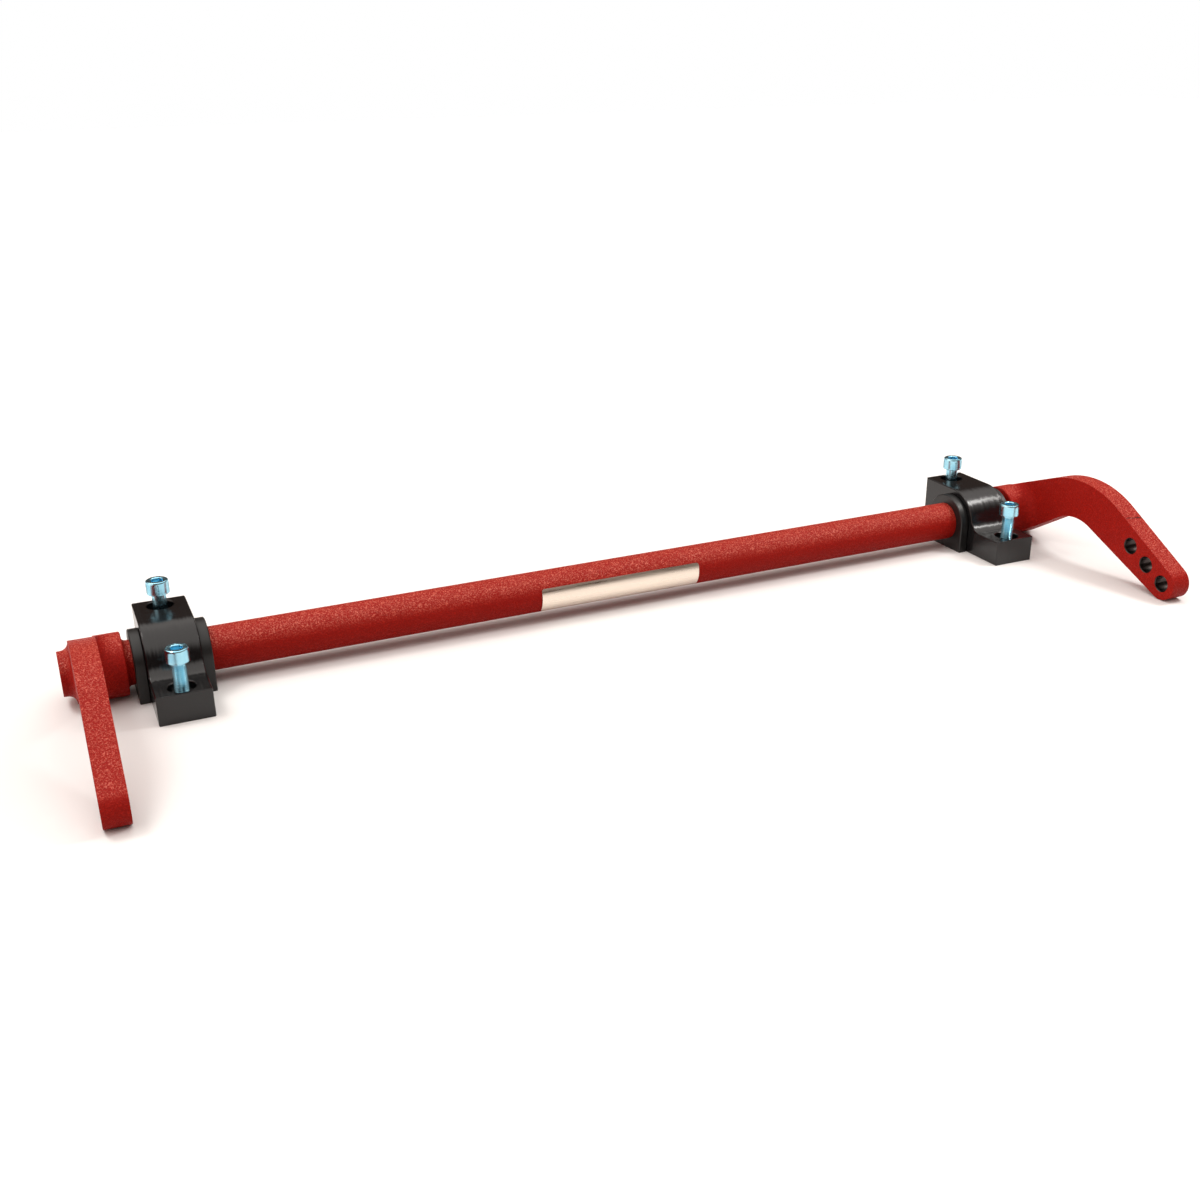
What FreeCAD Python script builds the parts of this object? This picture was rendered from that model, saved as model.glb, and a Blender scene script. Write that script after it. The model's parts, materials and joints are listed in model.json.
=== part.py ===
import FreeCAD, Part
import math
import os

# Sway bar: a hollow bar with a lever arm welded to each end, turning in two flanged bushings
# that are held down by two bolted brackets.
#
# Frame: X runs along the bar and Z is up. Z = 0 is the plane the brackets are bolted to. The
# arms reach towards -Y. The origin is the middle of the whole footprint on that plane.
# Every size is in millimetres. "Left" is -X and "right" is +X.

# ---- driving dimensions ----
BAR_RADIUS = 15.875             # 1 1/4 in tube
BAR_WALL = 4.76
BAR_BETWEEN_COLLARS = 755.9
BAR_HEIGHT = 23.0               # bar axis above the mounting plane

PLATE_THICKNESS = 16.6
PLATE_HUB_RADIUS = 22.0
COLLAR_RADIUS = 22.6
COLLAR_LENGTH = 17.7
TRANSITION_RADIUS = 13.0        # hollow between the collar and the arm plate
STUB_LENGTH = 8.1               # bar end standing out past the arm plate

# Arm outline in the plane across the bar: distance forward of, and height over, the bar axis.
OUTER_CORNER = (87.1, 57.6)
OUTER_BEND_RADIUS = 90.0
INNER_CORNER = (75.9, 20.2)
INNER_BEND_RADIUS = 41.0
TIP_CENTRE = (179.8, -9.5)
TIP_RADIUS = 13.1
LINK_HOLE_RADIUS = 6.35
LINK_HOLE_PITCH = 21.0
LINK_HOLE_COUNT = 3
LINK_HOLE_RISE_DEG = 28.6       # slope of the row of holes, rising towards the bar
LINK_HOLE_CHAMFER = 0.8

HUB_WELD_LEG = 3.0
END_WELD_LEG = 5.5
TURNING_GAP = 0.05              # radial gap wherever one part turns or slides in another

PLUG_LENGTH = 10.0
PLUG_WALL = 1.5
PLUG_RECESS = 1.0

BADGE_LENGTH = 136.0
BADGE_MIDDLE_X = -3.0
BADGE_FROM_DEG = -48.0          # lower edge, below the horizontal through the bar axis
BADGE_TO_DEG = 26.0             # upper edge
BADGE_THICKNESS = 0.5
ADHESIVE_THICKNESS = 0.3
ADHESIVE_INSET = 1.0

BRACKET_LENGTH = 102.6          # across the bar
BRACKET_WIDTH = 37.5            # along the bar
BRACKET_HEIGHT = 50.9
FOOT_HEIGHT = 21.2
FOOT_FLAT = 24.1                # flat top of the foot
BORE_FROM_BACK = 39.5           # bar axis to the tall face
BACK_HOLE_INSET = 10.8
BOLT_PITCH = 80.0
BOLT_HOLE_RADIUS = 5.5
COUNTERBORE_RADIUS = 9.4
EDGE_CHAMFER = 0.6
BASE_CHAMFER = 3.5

BUSHING_BODY_RADIUS = 20.0
FLANGE_RADIUS = 23.25
FLANGE_THICKNESS = 7.5
BUSHING_SLIT = 0.4
COLLAR_TO_BUSHING = 5.0

BOLT_RADIUS = 5.0               # M10 socket head cap screws
BOLT_HEAD_RADIUS = 8.0
BOLT_HEAD_HEIGHT = 10.0
BOLT_SOCKET_ACROSS_FLATS = 8.0
BOLT_SOCKET_DEPTH = 5.0
BOLT_TIP_CHAMFER = 1.0
BOLT_HEAD_CHAMFER = 0.6
HEXAGON_SIDES = 6
LONG_BOLT_LENGTH = 60.0
SHORT_BOLT_LENGTH = 40.0
BOLT_ENGAGEMENT = 25.0          # thread below the mounting plane once a bolt is home
BOLT_TIP_HEIGHT = 0.1           # bolts are shown just started, tips at the mounting plane

# ---- places worked out from the driving dimensions ----
ARM_REACH = TIP_CENTRE[0] + TIP_RADIUS
BAR_Y = (ARM_REACH - BORE_FROM_BACK) / 2
COLLAR_X = -BAR_BETWEEN_COLLARS / 2
PLATE_X = COLLAR_X - COLLAR_LENGTH
PLATE_OUTER_X = PLATE_X - PLATE_THICKNESS
BAR_END_X = PLATE_OUTER_X - STUB_LENGTH
BUSHING_HALF_LENGTH = BRACKET_WIDTH / 2 + FLANGE_THICKNESS
BRACKET_X = COLLAR_X + COLLAR_TO_BUSHING + BUSHING_HALF_LENGTH
BACK_FACE_Y = BAR_Y + BORE_FROM_BACK
BACK_HOLE_Y = BACK_FACE_Y - BACK_HOLE_INSET
FOOT_HOLE_Y = BACK_HOLE_Y - BOLT_PITCH
BORE_RADIUS = BAR_RADIUS + TURNING_GAP
ALONG = FreeCAD.Vector(1, 0, 0)
UP = FreeCAD.Vector(0, 0, 1)
FULL_TURN_DEG = 360
NEAR = 0.1                      # how close an edge must lie to a plane to count as in it


def across(x, forward, height):
    """A point given by its distance forward of the bar axis and its height over it."""
    return FreeCAD.Vector(x, BAR_Y - forward, BAR_HEIGHT + height)


def bar_cylinder(radius, x_low, x_high):
    return Part.makeCylinder(radius, x_high - x_low, across(x_low, 0, 0), ALONG)


def upright_cylinder(radius, x, y, z_low, z_high):
    return Part.makeCylinder(radius, z_high - z_low, FreeCAD.Vector(x, y, z_low), UP)


def turned_about_bar(edges):
    """Solid of revolution about the bar axis, from a closed outline in the plane of X and height."""
    section = Part.Face(Part.Wire(edges))
    return section.revolve(across(0, 0, 0), ALONG, FULL_TURN_DEG)


def lies_across_bar(edge):
    return edge.BoundBox.XLength < NEAR


def quarter_arc_pull(radius):
    """How far the middle of a hollow quarter arc lies from both of the faces it joins."""
    return radius * (1 - math.sqrt(0.5))


def mirrored(shape):
    """The same part at the other end of the bar."""
    return shape.mirror(FreeCAD.Vector(0, 0, 0), ALONG)


def tangent_point(centre, radius, outside, turn):
    """Where the line from an outside point touches a circle; turn is +1 or -1 for the two sides."""
    towards = centre - outside
    distance = towards.Length
    angle = turn * math.asin(radius / distance)
    turned = FreeCAD.Rotation(ALONG, math.degrees(angle)).multVec(towards.normalize())
    return outside + turned * math.sqrt(distance**2 - radius**2)


def rounded_corner(before, corner, after, radius):
    """Start, middle and end of the arc that rounds a corner."""
    back = (before - corner).normalize()
    ahead = (after - corner).normalize()
    half_angle = back.getAngle(ahead) / 2
    setback = radius / math.tan(half_angle)
    bisector = (back + ahead).normalize()
    middle = corner + bisector * (radius / math.sin(half_angle) - radius)
    return corner + back * setback, middle, corner + ahead * setback


def arm_outline(x):
    """Side view of the arm: a hub circle, a bend over the top, and a rounded tip."""
    hub = across(x, 0, 0)
    tip = across(x, *TIP_CENTRE)
    outer = across(x, *OUTER_CORNER)
    inner = across(x, *INNER_CORNER)
    hub_top = tangent_point(hub, PLATE_HUB_RADIUS, outer, 1)
    hub_bottom = tangent_point(hub, PLATE_HUB_RADIUS, inner, -1)
    tip_outer = tangent_point(tip, TIP_RADIUS, outer, -1)
    tip_inner = tangent_point(tip, TIP_RADIUS, inner, 1)
    outer_arc = rounded_corner(hub_top, outer, tip_outer, OUTER_BEND_RADIUS)
    inner_arc = rounded_corner(tip_inner, inner, hub_bottom, INNER_BEND_RADIUS)
    hub_back = across(x, -PLATE_HUB_RADIUS, 0)
    tip_front = tip + (tip - outer).normalize() * TIP_RADIUS
    return Part.Wire([
        Part.Arc(hub_bottom, hub_back, hub_top).toShape(),
        Part.makeLine(hub_top, outer_arc[0]),
        Part.Arc(*outer_arc).toShape(),
        Part.makeLine(outer_arc[2], tip_outer),
        Part.Arc(tip_outer, tip_front, tip_inner).toShape(),
        Part.makeLine(tip_inner, inner_arc[0]),
        Part.Arc(*inner_arc).toShape(),
        Part.makeLine(inner_arc[2], hub_bottom),
    ])


def link_hole_centres():
    rise = math.radians(LINK_HOLE_RISE_DEG)
    for index in range(LINK_HOLE_COUNT):
        step = index * LINK_HOLE_PITCH
        yield TIP_CENTRE[0] - step * math.cos(rise), TIP_CENTRE[1] + step * math.sin(rise)


def link_hole(forward, height):
    """A through hole with a small chamfer at both faces."""
    outer_end = across(PLATE_OUTER_X, forward, height)
    inner_end = across(PLATE_X, forward, height)
    mouth_radius = LINK_HOLE_RADIUS + LINK_HOLE_CHAMFER
    hole = Part.makeCylinder(LINK_HOLE_RADIUS, PLATE_THICKNESS, outer_end, ALONG)
    outer = Part.makeCone(mouth_radius, LINK_HOLE_RADIUS, LINK_HOLE_CHAMFER, outer_end, ALONG)
    inner = Part.makeCone(mouth_radius, LINK_HOLE_RADIUS, LINK_HOLE_CHAMFER, inner_end, -ALONG)
    return hole.fuse([outer, inner])


def hollow_transition():
    """Concave ring between the collar and the plate, kept only where the arm plate runs past it."""
    edge_radius = COLLAR_RADIUS + TRANSITION_RADIUS
    on_collar = across(PLATE_X + TRANSITION_RADIUS, 0, COLLAR_RADIUS)
    on_plate = across(PLATE_X, 0, edge_radius)
    pull = quarter_arc_pull(TRANSITION_RADIUS)
    middle = across(PLATE_X + pull, 0, COLLAR_RADIUS + pull)
    root = across(PLATE_X, 0, BORE_RADIUS)
    root_end = across(PLATE_X + TRANSITION_RADIUS, 0, BORE_RADIUS)
    ring = turned_about_bar([
        Part.Arc(on_collar, middle, on_plate).toShape(),
        Part.makeLine(on_plate, root),
        Part.makeLine(root, root_end),
        Part.makeLine(root_end, on_collar),
    ])
    arm_shadow = Part.Face(arm_outline(PLATE_X)).extrude(ALONG * COLLAR_LENGTH)
    return ring.common(arm_shadow)


def left_arm():
    """Lever arm: plate, hub collar and the hollow between them are machined as one piece."""
    plate = Part.Face(arm_outline(PLATE_OUTER_X)).extrude(ALONG * PLATE_THICKNESS)
    collar = bar_cylinder(COLLAR_RADIUS, PLATE_X, COLLAR_X)
    rim = [edge for edge in collar.Edges if edge.BoundBox.XMin > COLLAR_X - NEAR]
    collar = collar.makeChamfer(EDGE_CHAMFER, rim)
    arm = plate.fuse([collar, hollow_transition()])
    arm = arm.cut(bar_cylinder(BORE_RADIUS, PLATE_OUTER_X, COLLAR_X))
    for forward, height in link_hole_centres():
        arm = arm.cut(link_hole(forward, height))
    return arm.removeSplitter()


def left_weld(x_root, leg, x_direction):
    """Fillet weld between the bar and a face at x_root, hollow like a laid bead."""
    toe_on_bar = across(x_root + x_direction * leg, 0, BORE_RADIUS)
    toe_on_face = across(x_root, 0, BORE_RADIUS + leg)
    root = across(x_root, 0, BORE_RADIUS)
    pull = quarter_arc_pull(leg)
    middle = across(x_root + x_direction * pull, 0, BORE_RADIUS + pull)
    return turned_about_bar([
        Part.Arc(toe_on_bar, middle, toe_on_face).toShape(),
        Part.makeLine(toe_on_face, root),
        Part.makeLine(root, toe_on_bar),
    ])


def bar_tube():
    outside = bar_cylinder(BAR_RADIUS, BAR_END_X, -BAR_END_X)
    ends = [edge for edge in outside.Edges if lies_across_bar(edge)]
    outside = outside.makeChamfer(EDGE_CHAMFER, ends)
    return outside.cut(bar_cylinder(BAR_RADIUS - BAR_WALL, BAR_END_X, -BAR_END_X))


def left_tube_plug():
    """Pressed-in cup that closes the end of the bar."""
    radius = BAR_RADIUS - BAR_WALL
    outer_x = BAR_END_X + PLUG_RECESS
    cup = bar_cylinder(radius, outer_x, outer_x + PLUG_LENGTH)
    hollow = bar_cylinder(radius - PLUG_WALL, outer_x + PLUG_WALL, outer_x + PLUG_LENGTH)
    return cup.cut(hollow)


def wrapped_strip(inner_radius, thickness, inset):
    """Thin strip lying on the bar, between two angles seen along the bar."""
    length = BADGE_LENGTH - 2 * inset
    inset_deg = math.degrees(inset / inner_radius)
    low = math.radians(BADGE_FROM_DEG + inset_deg)
    high = math.radians(BADGE_TO_DEG - inset_deg)
    middle = (low + high) / 2
    outer_radius = inner_radius + thickness

    def at(radius, angle):
        x_low = BADGE_MIDDLE_X - length / 2
        return across(x_low, radius * math.cos(angle), radius * math.sin(angle))

    section = Part.Wire([
        Part.Arc(at(inner_radius, low), at(inner_radius, middle), at(inner_radius, high)).toShape(),
        Part.makeLine(at(inner_radius, high), at(outer_radius, high)),
        Part.Arc(at(outer_radius, high), at(outer_radius, middle), at(outer_radius, low)).toShape(),
        Part.makeLine(at(outer_radius, low), at(inner_radius, low)),
    ])
    return Part.Face(section).extrude(ALONG * length)


def badge_adhesive():
    return wrapped_strip(BAR_RADIUS, ADHESIVE_THICKNESS, ADHESIVE_INSET)


def badge_plate():
    return wrapped_strip(BAR_RADIUS + ADHESIVE_THICKNESS, BADGE_THICKNESS, 0)


def bracket_outline(x):
    """Side view: a tall block, a round crown over the bar, a hollow and a low foot."""
    crown_radius = BRACKET_HEIGHT - BAR_HEIGHT
    front = BRACKET_LENGTH - BORE_FROM_BACK
    foot_start = front - FOOT_FLAT
    foot_height = FOOT_HEIGHT - BAR_HEIGHT
    # The hollow is tangent to the foot and to the crown.
    beyond_crown = foot_start**2 + foot_height**2 - crown_radius**2
    hollow_radius = beyond_crown / (2 * (crown_radius - foot_height))
    hollow_centre = across(x, foot_start, foot_height + hollow_radius)
    bar_axis = across(x, 0, 0)
    meeting = bar_axis + (hollow_centre - bar_axis).normalize() * crown_radius
    foot_edge = across(x, foot_start, foot_height)
    towards_hollow = (meeting - hollow_centre).normalize() + (foot_edge - hollow_centre).normalize()
    hollow_middle = hollow_centre + towards_hollow.normalize() * hollow_radius
    towards_crown = (meeting - bar_axis).normalize() + UP
    crown_middle = bar_axis + towards_crown.normalize() * crown_radius
    crown_top = across(x, 0, crown_radius)
    base = -BAR_HEIGHT
    corners = [
        foot_edge,
        across(x, front, foot_height),
        across(x, front, base),
        across(x, BASE_CHAMFER - BORE_FROM_BACK, base),
        across(x, -BORE_FROM_BACK, base + BASE_CHAMFER),
        across(x, -BORE_FROM_BACK, crown_radius),
        crown_top,
    ]
    straights = [Part.makeLine(start, end) for start, end in zip(corners, corners[1:])]
    crown = Part.Arc(crown_top, crown_middle, meeting).toShape()
    hollow = Part.Arc(meeting, hollow_middle, foot_edge).toShape()
    return Part.Wire(straights + [crown, hollow])


def arched(radius, x_low, x_high):
    """A round-topped shape about the bar axis, with straight sides down to the mounting plane."""
    top = bar_cylinder(radius, x_low, x_high)
    corner = FreeCAD.Vector(x_low, BAR_Y - radius, 0)
    legs = Part.makeBox(x_high - x_low, 2 * radius, BAR_HEIGHT, corner)
    below = Part.makeBox(x_high - x_low, 2 * radius, radius, corner - UP * radius)
    return top.fuse(legs).cut(below).removeSplitter()


def left_bracket():
    x_low = BRACKET_X - BRACKET_WIDTH / 2
    x_high = BRACKET_X + BRACKET_WIDTH / 2
    block = Part.Face(bracket_outline(x_low)).extrude(ALONG * BRACKET_WIDTH)
    block = block.makeChamfer(EDGE_CHAMFER, [edge for edge in block.Edges if lies_across_bar(edge)])
    block = block.cut(arched(BUSHING_BODY_RADIUS + TURNING_GAP, x_low, x_high))
    for y, top, seat in (
        (BACK_HOLE_Y, BRACKET_HEIGHT, LONG_BOLT_LENGTH - BOLT_ENGAGEMENT),
        (FOOT_HOLE_Y, FOOT_HEIGHT, SHORT_BOLT_LENGTH - BOLT_ENGAGEMENT),
    ):
        mouth_base = FreeCAD.Vector(BRACKET_X, y, top - EDGE_CHAMFER)
        mouth_radius = COUNTERBORE_RADIUS + EDGE_CHAMFER
        mouth = Part.makeCone(COUNTERBORE_RADIUS, mouth_radius, EDGE_CHAMFER, mouth_base, UP)
        counterbore = upright_cylinder(COUNTERBORE_RADIUS, BRACKET_X, y, seat, top)
        clearance_hole = upright_cylinder(BOLT_HOLE_RADIUS, BRACKET_X, y, 0, top)
        block = block.cut([clearance_hole, counterbore, mouth])
    return block.removeSplitter()


def left_bushing():
    """Flanged bushing in one piece, slit underneath so that it opens over the bar."""
    x_low = BRACKET_X - BUSHING_HALF_LENGTH
    x_high = BRACKET_X + BUSHING_HALF_LENGTH
    body = arched(BUSHING_BODY_RADIUS, x_low, x_high)
    flange_start = BRACKET_WIDTH / 2 + TURNING_GAP
    flanges = []
    for low, high in ((-BUSHING_HALF_LENGTH, -flange_start), (flange_start, BUSHING_HALF_LENGTH)):
        flange = arched(FLANGE_RADIUS, BRACKET_X + low, BRACKET_X + high)
        above_base = [edge for edge in flange.Edges if edge.BoundBox.ZMax > NEAR]
        rims = [edge for edge in above_base if lies_across_bar(edge)]
        flanges.append(flange.makeChamfer(EDGE_CHAMFER, rims))
    bushing = body.fuse(flanges)
    bushing = bushing.cut(bar_cylinder(BORE_RADIUS, x_low, x_high))
    slit_corner = FreeCAD.Vector(x_low, BAR_Y - BUSHING_SLIT / 2, 0)
    slit = Part.makeBox(2 * BUSHING_HALF_LENGTH, BUSHING_SLIT, BAR_HEIGHT, slit_corner)
    return bushing.cut(slit).removeSplitter()


def socket_bolt(y, length):
    """Socket head cap screw standing in its hole with its tip at the mounting plane."""
    under_head = BOLT_TIP_HEIGHT + length
    shank = upright_cylinder(BOLT_RADIUS, BRACKET_X, y, BOLT_TIP_HEIGHT, under_head)
    tip = [edge for edge in shank.Edges if edge.BoundBox.ZMax < BOLT_TIP_HEIGHT + NEAR]
    shank = shank.makeChamfer(BOLT_TIP_CHAMFER, tip)
    head_top = under_head + BOLT_HEAD_HEIGHT
    head = upright_cylinder(BOLT_HEAD_RADIUS, BRACKET_X, y, under_head, head_top)
    rim = [edge for edge in head.Edges if edge.BoundBox.ZMin > head_top - NEAR]
    head = head.makeChamfer(BOLT_HEAD_CHAMFER, rim)
    corner_radius = BOLT_SOCKET_ACROSS_FLATS / math.sqrt(3)
    centre = FreeCAD.Vector(BRACKET_X, y, head_top - BOLT_SOCKET_DEPTH)
    corners = []
    for side in range(HEXAGON_SIDES + 1):
        angle = math.tau * side / HEXAGON_SIDES
        corners.append(centre + FreeCAD.Vector(math.cos(angle), math.sin(angle), 0) * corner_radius)
    hexagon = Part.makePolygon(corners)
    socket = Part.Face(hexagon).extrude(UP * BOLT_SOCKET_DEPTH)
    return shank.fuse(head).cut(socket).removeSplitter()


def build():
    """Every piece by name. Parts that come in pairs are made at the left and mirrored."""
    pairs = {
        "arm": left_arm(),
        "hub_weld": left_weld(COLLAR_X, HUB_WELD_LEG, 1),
        "end_weld": left_weld(PLATE_OUTER_X, END_WELD_LEG, -1),
        "tube_plug": left_tube_plug(),
        "bracket": left_bracket(),
        "bushing": left_bushing(),
        "long_bolt": socket_bolt(BACK_HOLE_Y, LONG_BOLT_LENGTH),
        "short_bolt": socket_bolt(FOOT_HOLE_Y, SHORT_BOLT_LENGTH),
    }
    pieces = {
        "bar_tube": bar_tube(),
        "badge_adhesive": badge_adhesive(),
        "badge_plate": badge_plate(),
    }
    for name, shape in pairs.items():
        pieces["left_" + name] = shape
        pieces["right_" + name] = mirrored(shape)
    return pieces


os.makedirs("parts", exist_ok=True)
for node, shape in build().items():
    shape.exportStep("parts/" + node + ".step")
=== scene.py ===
import json
import math

import bmesh
import bpy
from mathutils import Matrix, Vector


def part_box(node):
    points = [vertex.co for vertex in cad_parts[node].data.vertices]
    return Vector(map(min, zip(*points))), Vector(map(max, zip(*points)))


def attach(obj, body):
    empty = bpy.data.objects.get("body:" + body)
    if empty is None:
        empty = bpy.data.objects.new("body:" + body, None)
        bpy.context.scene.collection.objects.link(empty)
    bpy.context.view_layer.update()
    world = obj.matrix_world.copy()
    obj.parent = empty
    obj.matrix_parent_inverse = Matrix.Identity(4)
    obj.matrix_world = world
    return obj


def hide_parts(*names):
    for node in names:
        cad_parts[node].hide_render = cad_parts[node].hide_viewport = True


# The looks of the sway bar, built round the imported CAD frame. Metres, in the frame's own axes.
# Colours are linear RGB. A texture scale is a number of features per metre.

MM = 0.001

# ---- camera: the viewpoint, in the frame's own axes ----
CAMERA_PLACE = Vector((-0.4193, -0.8395, 0.4166))
CAMERA_AZIMUTH = math.radians(23.784)       # turned from +Y towards +X
CAMERA_DOWN = math.radians(22.288)
CAMERA_ROLL = math.radians(-0.717)
CAMERA_LENS_MM = 40.515
CAMERA_SENSOR_MM = 36.0
CAMERA_NEAREST = 10 * MM

# ---- light: softbox places are measured from the floor point under mid-bar ----
LEFT_SOFTBOX = {"place": (-0.76, 0.18, 1.0), "size": (0.30, 0.30), "power": 3.5}
RIGHT_SOFTBOX = {"place": (0.94, -0.34, 1.0), "size": (0.25, 0.30), "power": 6.3}
SOFTBOX_COLOUR = (1.0, 0.98, 0.95)
SOFTBOX_AIM = 0.6                           # it looks at the floor this share of its own x from mid-bar
EYE_LEVEL_ROOM = (0.085, 0.055, 0.042)
LEFT_WALL = (2.7, 2.1, 1.9)
LEFT_WALL_FOCUS = 6.0                       # power of the cosine about the bar's own axis
CEILING = (1.68, 1.58, 1.50)
CEILING_EDGE = (0.45, 0.85)                 # sine of the elevation where the bright ceiling fades in

# ---- floor ----
FLOOR_HALF_SIZE = 8.0
FLOOR_PAPER = ((0.86, 0.855, 0.85), (0.90, 0.895, 0.89))
FLOOR_BOUNCE = (0.62, 0.58, 0.55)           # floor colour as it lights the object
FAR_FLOOR_GLOW = 0.30
FAR_FLOOR = (0.20, 0.95)                    # distance over which the glow fades in
FAR_FLOOR_STRETCH = 0.55                    # the glow stays further off along the bar

# ---- red wrinkle powder coat ----
COAT_EDGE_RADIUS = 1.1 * MM                 # rounding that the coat leaves on every edge
COAT_EDGE_SEGMENTS = 3
COAT_WORMS = 700
COAT_WORM_STEEPNESS = 8.0                   # how soon a worm falls off from its middle line
COAT_WORM_SIDE = ((0.0, 1.0), (0.35, 0.82), (1.0, 0.0))
COAT_WORM_SHARE = 0.22                      # of the relief, and the grain makes up the rest
COAT_GRAIN = 1000
COAT_PATCHES = 22
COAT_RELIEF = 0.75 * MM
COAT_CREST_SHARE = ((0.45, 0.0), (0.73, 1.0))   # (relief, share of the crest's colour)
COAT_ROUGHNESS = ((0.40, 0.58), (0.80, 0.28))   # (relief, roughness)
COAT_GLOSS_LEAST = 0.10
COAT_GLOSS_UPWARD = 0.5
COAT_GLOSS_IN_DEEP = 0.15
COAT_DEEP = ((0.28, 0.006, 0.0035), (0.33, 0.009, 0.005))
# lit copies of the two coat colours: painted light where the surface faces up
COAT_DEEP_LIT = (0.32, 0.009, 0.005)
COAT_CREST = (0.44, 0.013, 0.006)
COAT_CREST_LIT = (0.66, 0.112, 0.060)
BAR_PAINTED_LIGHT = (0.15, 0.75)                     # upward share of the normal over which painted light turns the coat to its lit colours
ARM_PAINTED_LIGHT = (0.55, 1.05)
LINK_HOLE_SHADE_RADIUS = 6.8 * MM            # painted shade: a dark metal surface inside each link hole, reaching part way up its chamfer
LINK_HOLE_SHADE_METAL = ((0.032, 0.025, 0.024), (0.085, 0.068, 0.064))
LINK_HOLE_SHADE_ROUGHNESS = 0.3
CRACK_PLACE = (0.4043, -0.0577)             # x and y of a point on the crack in the coat
CRACK_SLANT = 0.134                         # metres towards -Y for each metre along X
CRACK_WIDTH = 0.7 * MM
CRACK_WANDER = 1.6 * MM
CRACK_FROM_X = 397.0 * MM
CRACK_ABOVE = 52.3 * MM
CRACK_COLOUR = (0.03, 0.003, 0.002)

# ---- other finishes: colour pairs, (texture, roughness) stops, bump depth and strength ----
ANODISED = ((0.0035, 0.0035, 0.004), (0.007, 0.0065, 0.007))
ANODISED_ROUGHNESS = ((0.3, 0.15), (0.7, 0.25))
ANODISED_BUMP = (0.012 * MM, 0.8)
ANODISED_EDGE_WEAR = 0.8 * MM
CUTTER_LINES = 170.0
CUTTER_LINE_SHARE = 0.6
CUTTER_SCRATCH_STRETCH = (3.0, 0.35, 0.35)
CUTTER_PASSES = (900.0, 12.0, 12.0)
CUTTER_TILT = 0.22
PLASTIC = ((0.005, 0.005, 0.005), (0.010, 0.0095, 0.0095))
PLASTIC_ROUGHNESS = ((0.3, 0.34), (0.7, 0.46))
PLASTIC_BUMP = (0.02 * MM, 0.7)
PLASTIC_RINGS = 230.0
PLASTIC_RING_SHARE = 0.5
ZINC = ((0.22, 0.56, 0.76), (0.47, 0.80, 0.90))
ZINC_ROUGHNESS = ((0.3, 0.16), (0.7, 0.30))
ZINC_BUMP = (0.01 * MM, 0.6)
ZINC_MARK_STRETCH = (0.3, 0.3, 3.0)
BADGE = ((0.78, 0.68, 0.58), (0.90, 0.80, 0.70))
BADGE_ROUGHNESS = ((0.3, 0.24), (0.7, 0.38))
BADGE_BUMP = (0.015 * MM, 0.7)
BADGE_BRUSH_STRETCH = (0.02, 1.0, 1.0)
TAPE = ((0.02, 0.02, 0.02), (0.05, 0.05, 0.05))
TAPE_BUMP = (0.05 * MM, 0.6)

# ---- shapes ----
ROUND_SEGMENTS = 120                        # a multiple of six, so that a hexagon fits the same rings
CORNER_STEPS = 4
BAR_END_ROUNDING = 0.8 * MM
BADGE_CORNER = 2.0 * MM
BADGE_TAPE_THICKNESS = 0.3 * MM
BADGE_THICKNESS = 0.5 * MM
BADGE_ROWS, BADGE_COLUMNS = 28, 60
CAD_SEAM = 0.002 * MM                       # CAD vertices closer than this are one
ARM_FLAT_ANGLE = 0.5                        # degrees under which neighbouring CAD faces are one face
ARM_EDGE_ANGLE = 35.0                       # degrees over which an edge is rounded
ARM_SMOOTH_ANGLE = 40.0
THREAD_PITCH = 1.5 * MM
THREAD_DEPTH = 0.92 * MM
THREAD_CREST = (0.12, 0.82)                 # where the flank starts and ends, as shares of half a pitch
THREAD_RUN_OUT = 1.2 * THREAD_PITCH
THREAD_RINGS_PER_TURN = 10
BOLT_RADIUS = 5.0 * MM
BOLT_TIP_CHAMFER = 1.2 * MM
BOLT_TIP_RADIUS = (0.55, 0.9)               # of the flat end and its rim, as shares of the thread's root
BOLT_SMOOTH_RADIUS = 0.995                  # of the shank above the thread, as a share of the bolt's
BOLT_SMOOTH_START = 0.2 * MM                # above the thread's end
BOLT_FILLET_RADIUS = 1.06                   # of the fillet under the head, as a share of the bolt's
BOLT_FILLET = (0.4 * MM, 0.05 * MM)         # where it starts and ends, below the head
BOLT_NECK = 1.5 * MM                        # least smooth length under the head
BOLT_HEAD_RADIUS = 8.0 * MM
BOLT_HEAD_HEIGHT = 10.0 * MM
HEAD_FOOT = 0.3 * MM
HEAD_EDGE = 0.35 * MM
HEAD_RIM = 1.0 * MM
KNURL_DEPTH = 0.16 * MM
KNURL_START = (0.9 * MM, 1.2 * MM)          # from no knurl to full knurl, above the head's foot
KNURL_STOP = (2.2 * MM, 1.9 * MM)           # from full knurl to none, below the head's top
SOCKET_ACROSS_FLATS = 8.0 * MM
SOCKET_CHAMFER = (0.25 * MM, 0.45 * MM)     # outwards and down
SOCKET_DEPTH = 5.0 * MM
SOCKET_CONE = 0.8 * MM
SOCKET_CONE_RADIUS = 0.3                    # at the bottom, as a share of the width across the flats
LONG_BOLT_SMOOTH_SHANK = 28.0 * MM

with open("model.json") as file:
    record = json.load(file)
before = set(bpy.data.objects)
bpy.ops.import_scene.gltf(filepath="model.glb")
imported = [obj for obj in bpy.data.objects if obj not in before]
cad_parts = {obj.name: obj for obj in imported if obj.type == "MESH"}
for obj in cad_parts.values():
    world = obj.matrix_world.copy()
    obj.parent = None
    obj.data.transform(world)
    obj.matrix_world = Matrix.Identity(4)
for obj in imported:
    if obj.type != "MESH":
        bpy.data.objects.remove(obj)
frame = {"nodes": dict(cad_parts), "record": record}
bpy.context.view_layer.update()
nodes = frame["nodes"]
record = frame["record"]

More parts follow.
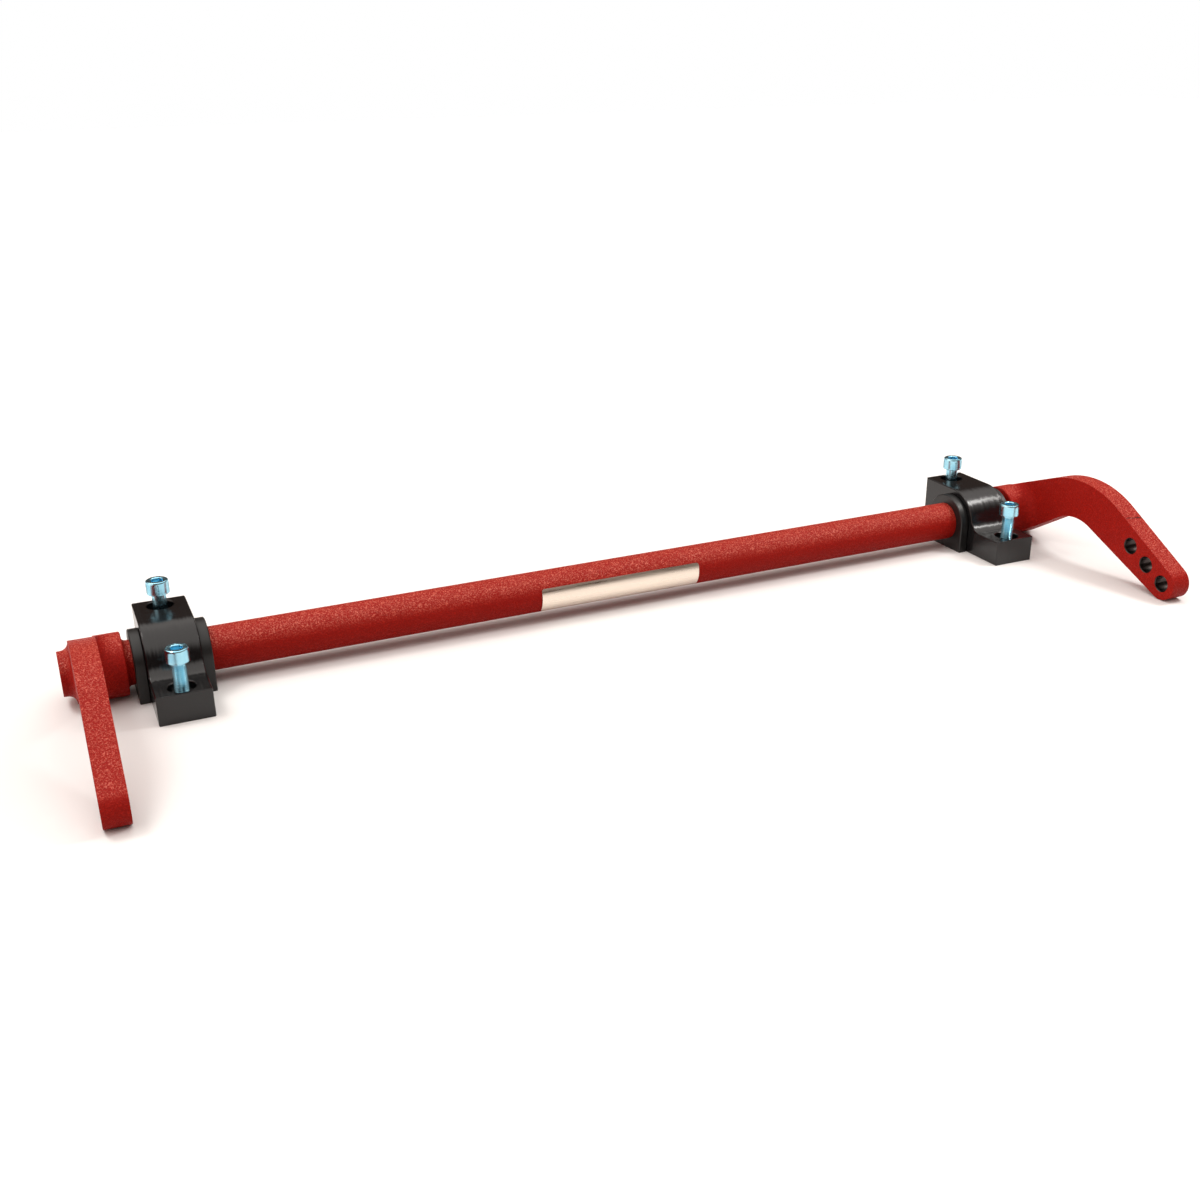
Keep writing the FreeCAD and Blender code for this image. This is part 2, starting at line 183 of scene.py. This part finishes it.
bar_low, bar_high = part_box("bar_tube")
AXIS_Y = (bar_low.y + bar_high.y) / 2
AXIS_Z = (bar_low.z + bar_high.z) / 2
BAR_RADIUS = (bar_high.z - bar_low.z) / 2
plug_low, plug_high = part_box("right_tube_plug")
BAR_INNER_RADIUS = (plug_high.z - plug_low.z) / 2
MOUNT_PLACE = {mount["name"]: Vector(mount["pos_m"]) for mount in record["mounts"]}
SLOT_OF = {part["node"]: part["material_slot"] for part in record["subparts"]}
BODY_OF = {node: body for body, members in record["behaviour"]["bodies"].items() for node in members}


# ---------------------------------------------------------------- shader nodes

class NodeTree:
    """Short calls for adding shader nodes to a tree and joining them."""

    def __init__(self, tree):
        self.tree = tree

    def node(self, kind, inputs=None, **settings):
        made = self.tree.nodes.new(kind)
        for key, value in settings.items():
            setattr(made, key, value)
        for key, value in (inputs or {}).items():
            self.feed(made, key, value)
        return made

    def feed(self, node, key, value):
        socket = node.inputs[key]
        if isinstance(value, bpy.types.NodeSocket):
            self.tree.links.new(value, socket)
        else:
            socket.default_value = value

    def maths(self, operation, a, b=0.0, **settings):
        made = self.node("ShaderNodeMath", {0: a, 1: b}, operation=operation, **settings)
        return made.outputs[0]

    def vector_maths(self, operation, a, b=(0, 0, 0)):
        return self.node("ShaderNodeVectorMath", {0: a, 1: b}, operation=operation)

    def split(self, vector):
        return self.node("ShaderNodeSeparateXYZ", {"Vector": vector}).outputs

    def smooth_step(self, value, limits):
        made = self.node("ShaderNodeMapRange", {"Value": value, "From Min": limits[0], "From Max": limits[1]},
                         interpolation_type="SMOOTHSTEP")
        return made.outputs["Result"]

    def mix(self, share, a, b):
        made = self.node("ShaderNodeMix", data_type="RGBA")
        self.feed(made, 0, share)
        for key, colour in ((6, a), (7, b)):
            self.feed(made, key, colour if isinstance(colour, bpy.types.NodeSocket) else (*colour, 1.0))
        return made.outputs[2]


class Shader(NodeTree):
    """A new material on a principled surface, placed by the frame's own axes."""

    def __init__(self, name):
        self.material = bpy.data.materials.new(name)
        self.material.use_nodes = True
        super().__init__(self.material.node_tree)
        self.surface = self.tree.nodes["Principled BSDF"]
        self.place = self.node("ShaderNodeTexCoord").outputs["Object"]

    def set(self, **values):
        for key, value in values.items():
            self.feed(self.surface, key.replace("_", " "), value)

    def scaled(self, scale, offset=(0, 0, 0)):
        made = self.node("ShaderNodeMapping", {"Vector": self.place, "Scale": scale, "Location": offset})
        return made.outputs["Vector"]

    def noise(self, scale, detail=2.0, vector=None, distortion=0.0):
        made = self.node("ShaderNodeTexNoise", {"Vector": vector or self.place, "Scale": scale,
                                                "Detail": detail, "Distortion": distortion})
        return made.outputs["Fac"]

    def grey_ramp(self, value, *stops):
        """Grey levels from (position, level) stops, straight between them."""
        made = self.node("ShaderNodeValToRGB", {"Fac": value})
        elements = made.color_ramp.elements
        while len(elements) < len(stops):
            elements.new(0.5)
        for element, (position, level) in zip(elements, stops):
            element.position = position
            element.color = (level, level, level, 1.0)
        return made.outputs["Color"]

    def blend(self, share, a, b):
        """A plain share of a, and the rest of b."""
        return self.maths("ADD", self.maths("MULTIPLY", a, share), self.maths("MULTIPLY", b, 1 - share))

    def bump(self, height, distance, strength=1.0, normal=None):
        inputs = {"Height": height, "Distance": distance, "Strength": strength}
        if normal is not None:
            inputs["Normal"] = normal
        return self.node("ShaderNodeBump", inputs).outputs["Normal"]


# ---------------------------------------------------------------- materials

def coat_relief(s):
    """Fine grain with worm-like crests under two millimetres apart running through it."""
    broad = s.noise(COAT_WORMS, detail=0.0, distortion=0.5)
    off_middle = s.maths("ABSOLUTE", s.maths("SUBTRACT", broad, 0.5))
    worms = s.grey_ramp(s.maths("MULTIPLY", off_middle, COAT_WORM_STEEPNESS), *COAT_WORM_SIDE)
    return s.blend(COAT_WORM_SHARE, worms, s.noise(COAT_GRAIN, detail=2.5))


def coat_colour(s, relief, painted_light_range):
    """Deep red, paler on the crests, and lighter where the surface faces up, which is painted light from lit
    copies of both colours. Also the coat's gloss, stronger where the surface faces up.
    """
    patches = s.noise(COAT_PATCHES, detail=3.0)
    crest = s.grey_ramp(relief, *COAT_CREST_SHARE)
    facing = s.split(s.node("ShaderNodeNewGeometry").outputs["Normal"])
    upward = s.smooth_step(facing["Z"], painted_light_range)
    # painted light: the lit copies take over where the surface faces up
    deep = s.mix(upward, s.mix(patches, *COAT_DEEP), COAT_DEEP_LIT)
    light = s.mix(upward, COAT_CREST, COAT_CREST_LIT)
    gloss = s.maths("MULTIPLY", s.maths("ADD", crest, COAT_GLOSS_IN_DEEP),
                    s.maths("MULTIPLY", upward, COAT_GLOSS_UPWARD))
    return s.mix(crest, deep, light), s.maths("ADD", gloss, COAT_GLOSS_LEAST)


def powder_coat():
    s = Shader("red_wrinkle_powder_coat")
    relief = coat_relief(s)
    colour, gloss = coat_colour(s, relief, BAR_PAINTED_LIGHT)
    s.set(Base_Color=colour,
          Roughness=s.grey_ramp(relief, *COAT_ROUGHNESS),
          Specular_IOR_Level=gloss,
          Normal=s.bump(relief, COAT_RELIEF))
    return s.material


def in_link_holes(s):
    """One inside the link holes, measured across the bar, and nought elsewhere: the mask of the painted shade
    there.
    """
    inside = 0.0
    for name, centre in MOUNT_PLACE.items():
        if name.startswith("left_link_hole"):
            from_hole = s.scaled((0, 1, 1), (0, -centre.y, -centre.z))
            distance = s.vector_maths("LENGTH", from_hole).outputs["Value"]
            inside = s.maths("MAXIMUM", inside, s.maths("LESS_THAN", distance, LINK_HOLE_SHADE_RADIUS))
    return inside


def on_crack(s):
    """One along a thin wandering line over the top edge of the right arm."""
    place = s.split(s.place)
    wander = s.maths("MULTIPLY", s.maths("SUBTRACT", s.noise(scale=300), 0.5), CRACK_WANDER)
    slant = s.maths("MULTIPLY", place["X"], CRACK_SLANT)
    along = s.maths("ADD", s.maths("ADD", place["Y"], wander), slant)
    line = CRACK_PLACE[1] + CRACK_SLANT * CRACK_PLACE[0]
    off_line = s.maths("ABSOLUTE", s.maths("SUBTRACT", along, line))
    near = s.maths("LESS_THAN", off_line, CRACK_WIDTH / 2)
    on_edge = s.maths("MULTIPLY", s.maths("GREATER_THAN", place["X"], CRACK_FROM_X),
                      s.maths("GREATER_THAN", place["Z"], CRACK_ABOVE))
    return s.maths("MULTIPLY", near, on_edge)


def arm_coat():
    """The same coat with painted shade in the link holes, as a dark smooth metal surface, and a fine crack
    over the right arm's edge.
    """
    s = Shader("red_wrinkle_powder_coat_arms")
    relief = coat_relief(s)
    colour, gloss = coat_colour(s, relief, ARM_PAINTED_LIGHT)
    hole_shade = in_link_holes(s)
    # outside the painted shade of the link holes
    coated = s.maths("SUBTRACT", 1.0, hole_shade)
    crack = on_crack(s)
    colour = s.mix(crack, colour, CRACK_COLOUR)
    # painted shade: dark metal colour for the insides of the link holes
    steel = s.mix(s.noise(scale=260, detail=3.0), *LINK_HOLE_SHADE_METAL)
    rough_coat = s.maths("MULTIPLY", s.grey_ramp(relief, *COAT_ROUGHNESS), coated)
    rough_hole_shade = s.maths("MULTIPLY", hole_shade, LINK_HOLE_SHADE_ROUGHNESS)
    cracked_relief = s.maths("SUBTRACT", relief, crack)
    s.set(Base_Color=s.mix(hole_shade, colour, steel),
          Metallic=hole_shade,
          Roughness=s.maths("ADD", rough_coat, rough_hole_shade),
          Specular_IOR_Level=gloss,
          Normal=s.bump(s.maths("MULTIPLY", cracked_relief, coated), COAT_RELIEF))
    return s.material


def cutter_tilted(s, normal):
    """The normal as each pass of the cutter along the bore leaves it, tilted a little round the bore."""
    passes = s.noise(scale=1.0, detail=1.0, vector=s.scaled(CUTTER_PASSES))
    round_bore = s.vector_maths("CROSS_PRODUCT", normal, (1, 0, 0)).outputs["Vector"]
    tilt = s.maths("MULTIPLY", s.maths("SUBTRACT", passes, 0.5), CUTTER_TILT)
    lean = s.node("ShaderNodeVectorMath", {0: round_bore, "Scale": tilt}, operation="SCALE").outputs["Vector"]
    turned = s.vector_maths("ADD", normal, lean).outputs["Vector"]
    return s.vector_maths("NORMALIZE", turned).outputs["Vector"]


def anodised():
    """Black anodised aluminium with the fine lines that a milling cutter leaves, bright on worn edges."""
    s = Shader("black_anodised_aluminium")
    cutter = s.node("ShaderNodeTexWave", {"Vector": s.place, "Scale": CUTTER_LINES, "Distortion": 0.6,
                                          "Detail": 1.0, "Detail Scale": 2.0},
                    wave_type="BANDS", bands_direction="X").outputs["Fac"]
    scratches = s.noise(scale=900, detail=3.0, vector=s.scaled(CUTTER_SCRATCH_STRETCH))
    height = s.blend(CUTTER_LINE_SHARE, cutter, scratches)
    rounded = s.node("ShaderNodeBevel", {"Radius": ANODISED_EDGE_WEAR}, samples=6).outputs["Normal"]
    s.set(Base_Color=s.mix(s.noise(scale=40), *ANODISED),
          Roughness=s.grey_ramp(scratches, *ANODISED_ROUGHNESS),
          Specular_IOR_Level=0.5,
          Normal=s.bump(height, *ANODISED_BUMP, cutter_tilted(s, rounded)))
    return s.material


def bearing_plastic():
    """Black turned plastic: faint rings round the bore and a soft sheen."""
    s = Shader("black_bearing_plastic")
    centred = s.scaled((1, 1, 1), (0.0, -AXIS_Y, -AXIS_Z))
    rings = s.node("ShaderNodeTexWave", {"Vector": centred, "Scale": PLASTIC_RINGS, "Distortion": 0.3,
                                         "Detail": 1.0},
                   wave_type="RINGS", rings_direction="X").outputs["Fac"]
    speck = s.noise(scale=1300, detail=3.0)
    s.set(Base_Color=s.mix(speck, *PLASTIC),
          Roughness=s.grey_ramp(speck, *PLASTIC_ROUGHNESS),
          Specular_IOR_Level=0.45,
          Normal=s.bump(s.blend(PLASTIC_RING_SHARE, rings, speck), *PLASTIC_BUMP))
    return s.material


def blue_zinc():
    """Bright blue zinc plate: a metal with faint colour drift and fine turning marks."""
    s = Shader("blue_zinc_plate")
    marks = s.noise(scale=2200, vector=s.scaled(ZINC_MARK_STRETCH))
    s.set(Base_Color=s.mix(s.noise(scale=130), *ZINC),
          Metallic=1.0,
          Roughness=s.grey_ramp(marks, *ZINC_ROUGHNESS),
          Normal=s.bump(marks, *ZINC_BUMP))
    return s.material


def badge_metal():
    """Plain plate brushed along the bar."""
    s = Shader("brushed_badge")
    brush = s.noise(scale=900, detail=3.0, vector=s.scaled(BADGE_BRUSH_STRETCH))
    s.set(Base_Color=s.mix(brush, *BADGE),
          Metallic=1.0,
          Roughness=s.grey_ramp(brush, *BADGE_ROUGHNESS),
          Normal=s.bump(brush, *BADGE_BUMP))
    return s.material


def tape():
    s = Shader("mounting_tape")
    fibre = s.noise(scale=800, detail=3.0)
    s.set(Base_Color=s.mix(fibre, *TAPE),
          Roughness=0.9,
          Normal=s.bump(fibre, *TAPE_BUMP))
    return s.material


def floor_paper():
    """Matt white paper near the object, fading into plain glowing white further off."""
    s = Shader("white_sweep")
    stretched = s.scaled((FAR_FLOOR_STRETCH, 1.0, 1.0))
    far = s.smooth_step(s.vector_maths("LENGTH", stretched).outputs["Value"], FAR_FLOOR)
    rays = s.node("ShaderNodeLightPath").outputs
    glow = s.maths("MULTIPLY", s.maths("MULTIPLY", far, FAR_FLOOR_GLOW), rays["Is Camera Ray"])
    paper = s.mix(s.noise(scale=3), *FLOOR_PAPER)
    s.set(Base_Color=s.mix(rays["Is Diffuse Ray"], paper, FLOOR_BOUNCE),
          Roughness=0.8,
          Specular_IOR_Level=0.1,
          Emission_Color=(1.0, 1.0, 1.0, 1.0),
          Emission_Strength=glow)
    return s.material


FINISH = {
    "red_powder_coat": powder_coat(),
    "plug_steel": powder_coat(),
    "black_anodised": anodised(),
    "black_plastic": bearing_plastic(),
    "blue_zinc": blue_zinc(),
    "badge_metal": badge_metal(),
    "adhesive": tape(),
}
ARM_COAT = arm_coat()


def finish(obj, slot, material=None):
    obj.data.materials.clear()
    obj.data.materials.append(material or FINISH[slot])


def stand_in(obj, node, material=None):
    """A piece that takes the place of a CAD node, on its body and in its material slot."""
    finish(obj, SLOT_OF[node], material)
    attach(obj, BODY_OF[node])
    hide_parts(node)


# ---------------------------------------------------------------- mesh helpers

def add_to_scene(obj):
    bpy.context.scene.collection.objects.link(obj)
    return obj


def mesh_object(name, vertices, faces, smooth_angle=30.0):
    mesh = bpy.data.meshes.new(name)
    mesh.from_pydata([tuple(v) for v in vertices], [], faces)
    mesh.validate()
    turn_outward(mesh)
    shade(mesh, smooth_angle)
    return add_to_scene(bpy.data.objects.new(name, mesh))


def turn_outward(mesh):
    work = bmesh.new()
    work.from_mesh(mesh)
    bmesh.ops.recalc_face_normals(work, faces=work.faces)
    work.to_mesh(mesh)
    work.free()


def shade(mesh, smooth_angle):
    mesh.shade_smooth()
    mesh.set_sharp_from_angle(angle=math.radians(smooth_angle))


def rings_to_mesh(name, rings, joined=False, smooth_angle=30.0):
    """Skin over equal rings of points. The ends are capped, or the last ring is joined to the first."""
    count = len(rings[0])
    vertices = [point for ring in rings for point in ring]
    faces = []
    spans = len(rings) if joined else len(rings) - 1
    for row in range(spans):
        here = row * count
        there = ((row + 1) % len(rings)) * count
        for k in range(count):
            after = (k + 1) % count
            faces.append((here + k, here + after, there + after, there + k))
    if not joined:
        faces.append(tuple(range(count)))
        last = (len(rings) - 1) * count
        faces.append(tuple(range(last, last + count)))
    return mesh_object(name, vertices, faces, smooth_angle)


def round_ring(radius_at):
    """Points round a circle, with the radius given by a function of the angle and the point's number."""
    points = []
    for k in range(ROUND_SEGMENTS):
        angle = 2 * math.pi * k / ROUND_SEGMENTS
        radius = radius_at(angle, k)
        points.append((radius * math.cos(angle), radius * math.sin(angle)))
    return points


def circle(radius):
    return round_ring(lambda angle, k: radius)


def hexagon(across_flats):
    return round_ring(lambda angle, k: across_flats / 2 / math.cos((angle % (math.pi / 3)) - math.pi / 6))


def rounded_profile(points, radius):
    """A closed outline of (along, radius) points with each corner rounded by a quadratic curve."""
    out = []
    for before, corner, after in zip(points[-1:] + points[:-1], points, points[1:] + points[:1]):
        before, corner, after = Vector(before), Vector(corner), Vector(after)
        reach = min(radius, (before - corner).length / 2, (after - corner).length / 2)
        start = corner + (before - corner).normalized() * reach
        end = corner + (after - corner).normalized() * reach
        for step in range(CORNER_STEPS + 1):
            t = step / CORNER_STEPS
            out.append(start * (1 - t) ** 2 + corner * 2 * t * (1 - t) + end * t ** 2)
    return out


# ---------------------------------------------------------------- the bar and its badge

def make_bar():
    """The hollow bar, turned about its own axis, with its two ends rounded."""
    half = bar_high.x
    corners = [(-half, BAR_INNER_RADIUS), (-half, BAR_RADIUS), (half, BAR_RADIUS), (half, BAR_INNER_RADIUS)]
    rings = []
    for x, radius in rounded_profile(corners, BAR_END_ROUNDING):
        rings.append([(x, AXIS_Y + across, AXIS_Z + up) for across, up in circle(radius)])
    stand_in(rings_to_mesh("bar", rings, joined=True), "bar_tube")


def make_badge():
    """Thin plate with rounded corners, wrapped round the bar."""
    low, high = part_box("badge_plate")
    inner = BAR_RADIUS + BADGE_TAPE_THICKNESS
    outer = inner + BADGE_THICKNESS
    half_length = (high.x - low.x) / 2
    middle_x = (high.x + low.x) / 2
    top = math.asin((high.z - AXIS_Z) / outer)
    bottom = -math.acos((AXIS_Y - high.y) / inner)
    half_arc = (top - bottom) / 2
    corner_angle = BADGE_CORNER / outer

    def surface(radius):
        points = []
        for row in range(BADGE_ROWS + 1):
            share = -math.cos(math.pi * row / BADGE_ROWS)
            past = max(0.0, abs(share) * half_arc - (half_arc - corner_angle)) / corner_angle
            reach = half_length - BADGE_CORNER * (1 - math.sqrt(max(0.0, 1 - past * past)))
            angle = (top + bottom) / 2 + share * half_arc
            for column in range(BADGE_COLUMNS + 1):
                x = middle_x + reach * (2 * column / BADGE_COLUMNS - 1)
                points.append((x, AXIS_Y - radius * math.cos(angle), AXIS_Z + radius * math.sin(angle)))
        return points

    width = BADGE_COLUMNS + 1
    outside, inside = surface(outer), surface(inner)
    offset = len(outside)
    faces = []
    for row in range(BADGE_ROWS):
        for column in range(BADGE_COLUMNS):
            a = row * width + column
            quad = (a, a + 1, a + width + 1, a + width)
            faces.append(quad)
            faces.append(tuple(offset + v for v in reversed(quad)))
    edge = list(range(width))
    edge += [row * width + BADGE_COLUMNS for row in range(1, BADGE_ROWS + 1)]
    edge += [BADGE_ROWS * width + column for column in range(BADGE_COLUMNS - 1, -1, -1)]
    edge += [row * width for row in range(BADGE_ROWS - 1, 0, -1)]
    for a, b in zip(edge, edge[1:] + edge[:1]):
        faces.append((a, b, offset + b, offset + a))
    stand_in(mesh_object("badge", outside + inside, faces), "badge_plate")


# ---------------------------------------------------------------- arms

def make_arm(side):
    """The CAD arm with every edge rounded as the coat leaves it."""
    node = side + "_arm"
    obj = add_to_scene(bpy.data.objects.new(node + "_coated", nodes[node].data.copy()))
    work = bmesh.new()
    work.from_mesh(obj.data)
    bmesh.ops.remove_doubles(work, verts=work.verts, dist=CAD_SEAM)
    bmesh.ops.dissolve_limit(work, angle_limit=math.radians(ARM_FLAT_ANGLE),
                             verts=work.verts, edges=work.edges)
    work.to_mesh(obj.data)
    work.free()
    bevel = obj.modifiers.new("coat_edges", "BEVEL")
    bevel.width = COAT_EDGE_RADIUS
    bevel.segments = COAT_EDGE_SEGMENTS
    bevel.limit_method = "ANGLE"
    bevel.angle_limit = math.radians(ARM_EDGE_ANGLE)
    if obj.data.has_custom_normals:
        with bpy.context.temp_override(object=obj, active_object=obj, selected_objects=[obj]):
            bpy.ops.mesh.customdata_custom_splitnormals_clear()
    shade(obj.data, ARM_SMOOTH_ANGLE)
    weighted = obj.modifiers.new("flat_faces", "WEIGHTED_NORMAL")
    weighted.keep_sharp = False
    stand_in(obj, node, ARM_COAT)


# ---------------------------------------------------------------- screws

def thread_radius(z, angle):
    """Outside radius of a right-hand thread at a height and an angle."""
    phase = (z / THREAD_PITCH - angle / (2 * math.pi)) % 1.0
    slope = abs(2 * phase - 1)
    foot, shoulder = THREAD_CREST
    crest = min(max((slope - foot) / (shoulder - foot), 0.0), 1.0)
    return BOLT_RADIUS - THREAD_DEPTH * (1 - crest)


def thread_rings(from_z, to_z):
    """(height, points) of the threaded length, from a chamfered tip to where the thread runs out."""
    end_radius, tip_radius = [(BOLT_RADIUS - THREAD_DEPTH) * share for share in BOLT_TIP_RADIUS]
    step = THREAD_PITCH / THREAD_RINGS_PER_TURN
    rings = [(from_z, circle(end_radius))]
    for index in range(int((to_z - from_z) / step) + 1):
        z = from_z + index * step
        tip_limit = tip_radius + (z - from_z) / BOLT_TIP_CHAMFER * (BOLT_RADIUS - tip_radius)
        depth_share = max(min(1.0, (to_z - z) / THREAD_RUN_OUT), 0.0)

        def radius_at(angle, k):
            cut = (BOLT_RADIUS - thread_radius(z, angle)) * depth_share
            return min(BOLT_RADIUS - cut, tip_limit)

        rings.append((z, round_ring(radius_at)))
    return rings


def head_rings(bottom, top):
    """(height, points) of the head: a knurled side between two plain bands, and a hexagon socket."""
    band = circle(BOLT_HEAD_RADIUS - KNURL_DEPTH / 2)
    knurl = round_ring(lambda angle, k: BOLT_HEAD_RADIUS - KNURL_DEPTH * (k % 2))
    socket = hexagon(SOCKET_ACROSS_FLATS)
    mouth_out, mouth_down = SOCKET_CHAMFER
    return [
        (bottom, circle(BOLT_HEAD_RADIUS - HEAD_EDGE)),
        (bottom + HEAD_FOOT, circle(BOLT_HEAD_RADIUS)),
        (bottom + KNURL_START[0], band),
        (bottom + KNURL_START[1], knurl),
        (top - KNURL_STOP[0], knurl),
        (top - KNURL_STOP[1], band),
        (top - HEAD_RIM, band),
        (top - HEAD_EDGE, circle(BOLT_HEAD_RADIUS - HEAD_EDGE)),
        (top, circle(BOLT_HEAD_RADIUS - HEAD_RIM)),
        (top, circle(SOCKET_ACROSS_FLATS / math.sqrt(3) + mouth_out)),
        (top - mouth_down, socket),
        (top - SOCKET_DEPTH, socket),
        (top - SOCKET_DEPTH - SOCKET_CONE, circle(SOCKET_ACROSS_FLATS * SOCKET_CONE_RADIUS)),
    ]


def make_bolt(node, smooth_shank):
    """A socket head cap screw where the CAD screw stands."""
    low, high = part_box(node)
    centre_x, centre_y = (low.x + high.x) / 2, (low.y + high.y) / 2
    under_head = high.z - BOLT_HEAD_HEIGHT
    thread_end = under_head - max(smooth_shank, BOLT_NECK)
    shank = circle(BOLT_RADIUS * BOLT_SMOOTH_RADIUS)
    levels = thread_rings(low.z, thread_end)
    levels += [
        (thread_end + BOLT_SMOOTH_START, shank),
        (under_head - BOLT_FILLET[0], shank),
        (under_head - BOLT_FILLET[1], circle(BOLT_RADIUS * BOLT_FILLET_RADIUS)),
    ]
    levels += head_rings(under_head, high.z)
    rings = [[(centre_x + x, centre_y + y, z) for x, y in points] for z, points in levels]
    stand_in(rings_to_mesh(node + "_threaded", rings, smooth_angle=28.0), node)


# ---------------------------------------------------------------- floor, light and camera

def make_floor():
    """White sweep: matt and lit near the object, and glowing plain white further off."""
    half = FLOOR_HALF_SIZE
    mesh = bpy.data.meshes.new("sweep")
    corners = [(-half, -half, 0), (half, -half, 0), (half, half, 0), (-half, half, 0)]
    mesh.from_pydata(corners, [], [(0, 1, 2, 3)])
    mesh.materials.append(floor_paper())
    floor = add_to_scene(bpy.data.objects.new("sweep", mesh))
    stay_under_arms(floor)


def stay_under_arms(floor):
    """Lets the floor sink when a posed arm's round tip swings lower than the bracket feet."""
    sink = floor.driver_add("location", 2).driver
    clear_of_tips = []
    for side in ("left", "right"):
        tip_centre = MOUNT_PLACE[side + "_link_hole_soft"]
        tip_radius = tip_centre.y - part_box(side + "_arm")[0].y
        tip = add_to_scene(bpy.data.objects.new(side + "_tip", None))
        tip.location = tip_centre
        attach(tip, BODY_OF[side + "_arm"])
        height = sink.variables.new()
        height.name = side + "_tip"
        height.type = "TRANSFORMS"
        height.targets[0].id = tip
        height.targets[0].transform_type = "LOC_Z"
        height.targets[0].transform_space = "WORLD_SPACE"
        clear_of_tips.append(f"{height.name} - {tip_radius:.5f}")
    sink.expression = "min(0, " + ", ".join(clear_of_tips) + ")"


def make_softbox(name, lamp):
    place = Vector((0, AXIS_Y, 0)) + Vector(lamp["place"])
    target = Vector((place.x * SOFTBOX_AIM, place.y, 0))
    data = bpy.data.lights.new(name, "AREA")
    data.shape = "RECTANGLE"
    data.size, data.size_y = lamp["size"]
    data.energy = lamp["power"]
    data.color = SOFTBOX_COLOUR
    softbox = add_to_scene(bpy.data.objects.new(name, data))
    softbox.location = place
    softbox.rotation_euler = (target - place).to_track_quat("-Z", "Y").to_euler()


def make_room():
    """A ceiling that is bright overhead, walls that are dim but for the one off the left end."""
    world = bpy.data.worlds.new("studio")
    world.use_nodes = True
    s = NodeTree(world.node_tree)
    direction = s.split(s.node("ShaderNodeTexCoord").outputs["Generated"])
    leftward = s.maths("MULTIPLY", direction["X"], -1.0, use_clamp=True)
    on_wall = s.maths("POWER", leftward, LEFT_WALL_FOCUS)
    walls = s.mix(on_wall, EYE_LEVEL_ROOM, LEFT_WALL)
    room = s.mix(s.smooth_step(direction["Z"], CEILING_EDGE), walls, CEILING)
    to_camera = s.node("ShaderNodeLightPath").outputs["Is Camera Ray"]
    s.feed(s.tree.nodes["Background"], "Color", s.mix(to_camera, room, (1, 1, 1)))
    bpy.context.scene.world = world
    bpy.context.scene.view_settings.view_transform = "Standard"


def make_camera():
    azimuth, down, roll = CAMERA_AZIMUTH, CAMERA_DOWN, CAMERA_ROLL
    level = Vector((math.sin(azimuth), math.cos(azimuth), 0))
    ahead = level * math.cos(down) - Vector((0, 0, math.sin(down)))
    level_right = Vector((math.cos(azimuth), -math.sin(azimuth), 0))
    level_up = level_right.cross(ahead)
    right = level_right * math.cos(roll) + level_up * math.sin(roll)
    up = level_up * math.cos(roll) - level_right * math.sin(roll)
    data = bpy.data.cameras.new("camera")
    data.lens = CAMERA_LENS_MM
    data.sensor_width = CAMERA_SENSOR_MM
    data.clip_start = CAMERA_NEAREST
    camera = add_to_scene(bpy.data.objects.new("camera", data))
    turn = Matrix((right, up, -ahead)).transposed()
    camera.matrix_world = Matrix.Translation(CAMERA_PLACE) @ turn.to_4x4()
    bpy.context.scene.camera = camera


for cad_name, cad_object in nodes.items():
    finish(cad_object, SLOT_OF[cad_name])
make_bar()
make_badge()
for side in ("left", "right"):
    make_arm(side)
    make_bolt(side + "_long_bolt", LONG_BOLT_SMOOTH_SHANK)
    make_bolt(side + "_short_bolt", 0.0)
make_floor()
make_softbox("left_softbox", LEFT_SOFTBOX)
make_softbox("right_softbox", RIGHT_SOFTBOX)
make_room()
make_camera()

bpy.context.view_layer.update()
